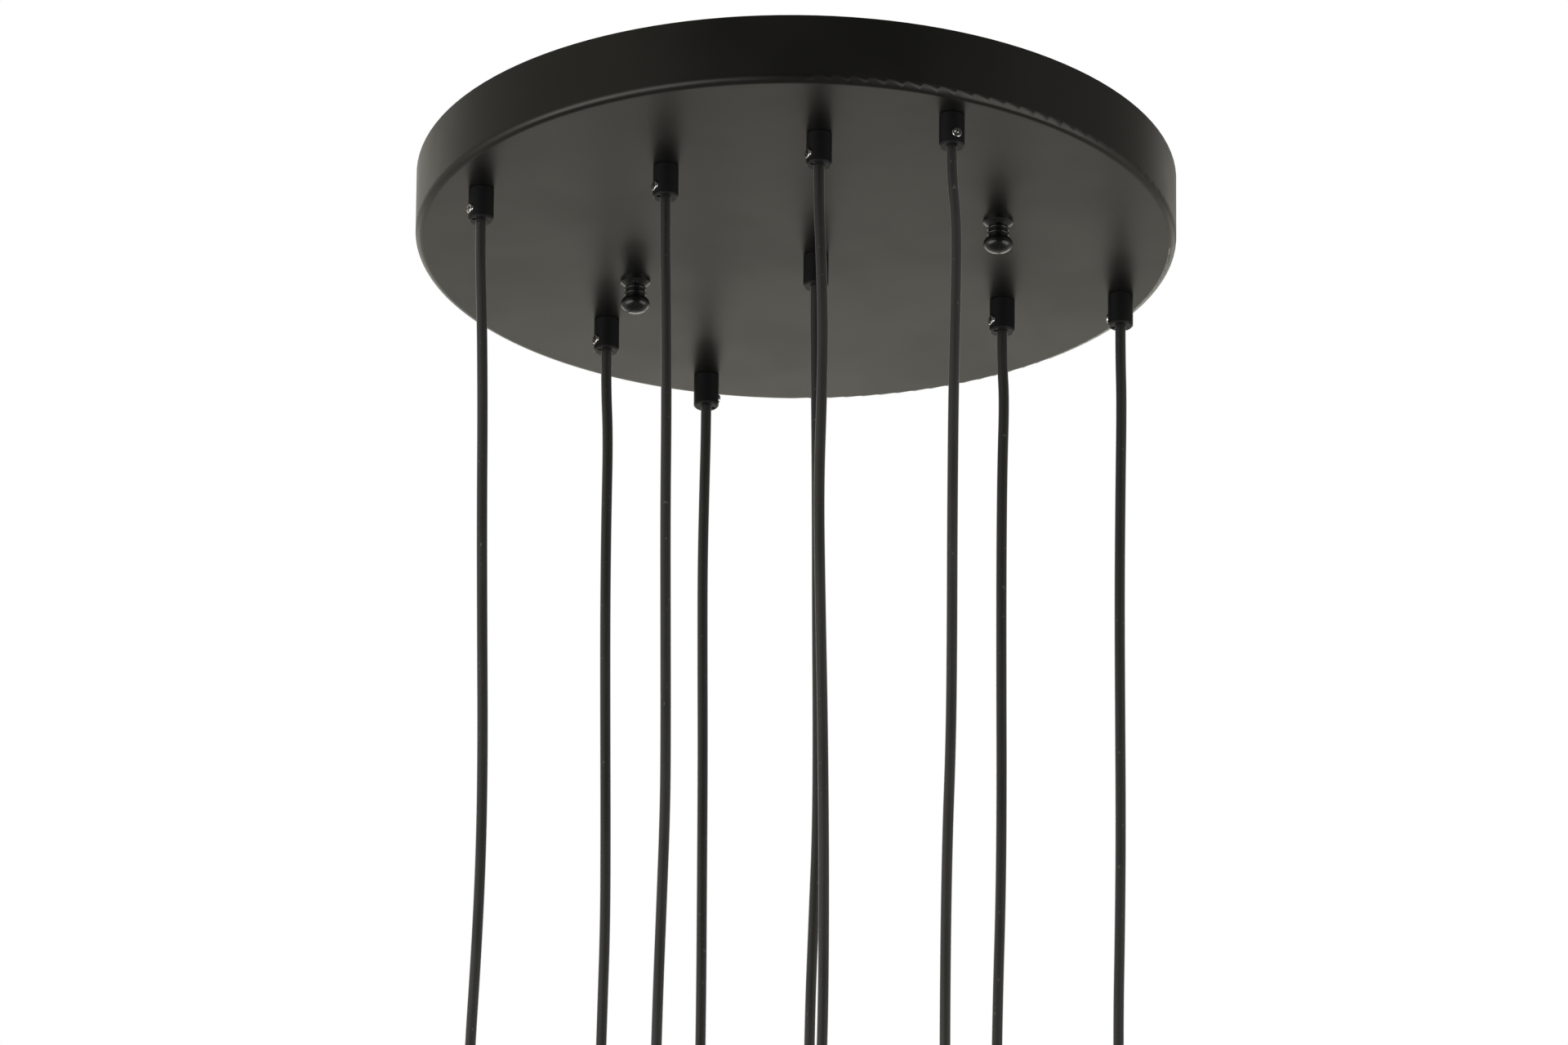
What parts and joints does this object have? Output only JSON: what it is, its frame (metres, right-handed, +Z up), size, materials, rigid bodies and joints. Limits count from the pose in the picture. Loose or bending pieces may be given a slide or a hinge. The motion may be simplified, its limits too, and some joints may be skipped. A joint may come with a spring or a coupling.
{
  "type": "cluster pendant",
  "caption": "Round black ceiling pan with cord grips, from which plain lamp heads hang on black cords at staggered heights.",
  "frame": {"origin": "on the ceiling plane, above the middle of the pan", "axes": "+Z up, towards the ceiling; +X to the right and +Y away, seen from the side that the picture shows"},
  "size_m": [0.45, 0.45, 1.03],
  "materials": {
    "satin_black_steel": "satin black powder coat",
    "zinc_steel": "bright zinc plate",
    "black_nut": "glossy black lacquer on turned brass",
    "bright_screw": "nickel plate",
    "white_nylon": "natural nylon",
    "cord_sheath": "smooth black PVC",
    "earth_insulation": "green and yellow PVC",
    "grip_plastic": "fine black moulded plastic",
    "cover_black": "satin black powder coat",
    "holder_plastic": "black moulded phenolic",
    "bulb_glass": "clear blown glass"
  },
  "bodies": {
    "canopy": {"canopy_pan": "satin_black_steel", "mounting_bracket": "zinc_steel", "mounting_studs": "zinc_steel", "stud_nuts": "zinc_steel", "finial_left": "black_nut", "finial_right": "black_nut", "grip_1": "grip_plastic", "grip_2": "grip_plastic", "grip_3": "grip_plastic", "grip_4": "grip_plastic", "grip_5": "grip_plastic", "grip_6": "grip_plastic", "grip_7": "grip_plastic", "grip_8": "grip_plastic", "grip_9": "grip_plastic", "grip_locknuts": "zinc_steel", "set_screws": "bright_screw", "terminal_block": "white_nylon", "terminal_screws": "bright_screw", "block_screws": "bright_screw", "cord_tails": "cord_sheath", "earth_wire": "earth_insulation", "earth_screws": "zinc_steel"},
    "hanging_1": {"cord_1": "cord_sheath"},
    "head_1": {"socket_cover_1": "cover_black", "lampholder_1": "holder_plastic", "bulb_1": "bulb_glass"},
    "hanging_2": {"cord_2": "cord_sheath"},
    "head_2": {"socket_cover_2": "cover_black", "lampholder_2": "holder_plastic", "bulb_2": "bulb_glass"},
    "hanging_3": {"cord_3": "cord_sheath"},
    "head_3": {"socket_cover_3": "cover_black", "lampholder_3": "holder_plastic", "bulb_3": "bulb_glass"},
    "hanging_4": {"cord_4": "cord_sheath"},
    "head_4": {"socket_cover_4": "cover_black", "lampholder_4": "holder_plastic", "bulb_4": "bulb_glass"},
    "hanging_5": {"cord_5": "cord_sheath"},
    "head_5": {"socket_cover_5": "cover_black", "lampholder_5": "holder_plastic", "bulb_5": "bulb_glass"},
    "hanging_6": {"cord_6": "cord_sheath"},
    "head_6": {"socket_cover_6": "cover_black", "lampholder_6": "holder_plastic", "bulb_6": "bulb_glass"},
    "hanging_7": {"cord_7": "cord_sheath"},
    "head_7": {"socket_cover_7": "cover_black", "lampholder_7": "holder_plastic", "bulb_7": "bulb_glass"},
    "hanging_8": {"cord_8": "cord_sheath"},
    "head_8": {"socket_cover_8": "cover_black", "lampholder_8": "holder_plastic", "bulb_8": "bulb_glass"},
    "hanging_9": {"cord_9": "cord_sheath"},
    "head_9": {"socket_cover_9": "cover_black", "lampholder_9": "holder_plastic", "bulb_9": "bulb_glass"}
  },
  "joints": [
    {"name": "swing_1", "type": "hinge", "parent": "canopy", "child": "hanging_1", "pos_m": [-0.18501, -0.07168, -0.062], "axis": [1, 0, 0], "range_deg": [-4, 6]},
    {"name": "swing_2", "type": "hinge", "parent": "canopy", "child": "hanging_2", "pos_m": [-0.07651, -0.1055, -0.062], "axis": [-1, 0, 0], "range_deg": [-4, 6]},
    {"name": "swing_3", "type": "hinge", "parent": "canopy", "child": "hanging_3", "pos_m": [0.013, -0.15161, -0.062], "axis": [-1, 0, 0], "range_deg": [-4, 6]},
    {"name": "swing_4", "type": "hinge", "parent": "canopy", "child": "hanging_4", "pos_m": [0.09, -0.1787, -0.062], "axis": [-1, 0, 0], "range_deg": [-4, 6]},
    {"name": "swing_5", "type": "hinge", "parent": "canopy", "child": "hanging_5", "pos_m": [-0.11251, 0.11149, -0.062], "axis": [0.866, 0.5, 0], "range_deg": [-4, 6]},
    {"name": "swing_6", "type": "hinge", "parent": "canopy", "child": "hanging_6", "pos_m": [-0.05302, 0.1904, -0.062], "axis": [0.866, 0.5, 0], "range_deg": [-4, 6]},
    {"name": "swing_7", "type": "hinge", "parent": "canopy", "child": "hanging_7", "pos_m": [0.012, 0.0171, -0.062], "axis": [1, 0, 0], "range_deg": [-4, 6]},
    {"name": "swing_8", "type": "hinge", "parent": "canopy", "child": "hanging_8", "pos_m": [0.1233, 0.0791, -0.062], "axis": [0.866, -0.5, 0], "range_deg": [-4, 6]},
    {"name": "swing_9", "type": "hinge", "parent": "canopy", "child": "hanging_9", "pos_m": [0.19351, 0.06951, -0.062], "axis": [0.866, -0.5, 0], "range_deg": [-4, 6]},
    {"name": "height_1", "type": "slide", "parent": "hanging_1", "child": "head_1", "axis": [0, 0, 1], "range_m": [0, 0.12], "deforming": ["cord_1"]},
    {"name": "height_2", "type": "slide", "parent": "hanging_2", "child": "head_2", "axis": [0, 0, 1], "range_m": [0, 0.12], "deforming": ["cord_2"]},
    {"name": "height_3", "type": "slide", "parent": "hanging_3", "child": "head_3", "axis": [0, 0, 1], "range_m": [0, 0.12], "deforming": ["cord_3"]},
    {"name": "height_4", "type": "slide", "parent": "hanging_4", "child": "head_4", "axis": [0, 0, 1], "range_m": [0, 0.12], "deforming": ["cord_4"]},
    {"name": "height_5", "type": "slide", "parent": "hanging_5", "child": "head_5", "axis": [0, 0, 1], "range_m": [0, 0.12], "deforming": ["cord_5"]},
    {"name": "height_6", "type": "slide", "parent": "hanging_6", "child": "head_6", "axis": [0, 0, 1], "range_m": [0, 0.12], "deforming": ["cord_6"]},
    {"name": "height_7", "type": "slide", "parent": "hanging_7", "child": "head_7", "axis": [0, 0, 1], "range_m": [0, 0.12], "deforming": ["cord_7"]},
    {"name": "height_8", "type": "slide", "parent": "hanging_8", "child": "head_8", "axis": [0, 0, 1], "range_m": [0, 0.12], "deforming": ["cord_8"]},
    {"name": "height_9", "type": "slide", "parent": "hanging_9", "child": "head_9", "axis": [0, 0, 1], "range_m": [0, 0.12], "deforming": ["cord_9"]}
  ]
}
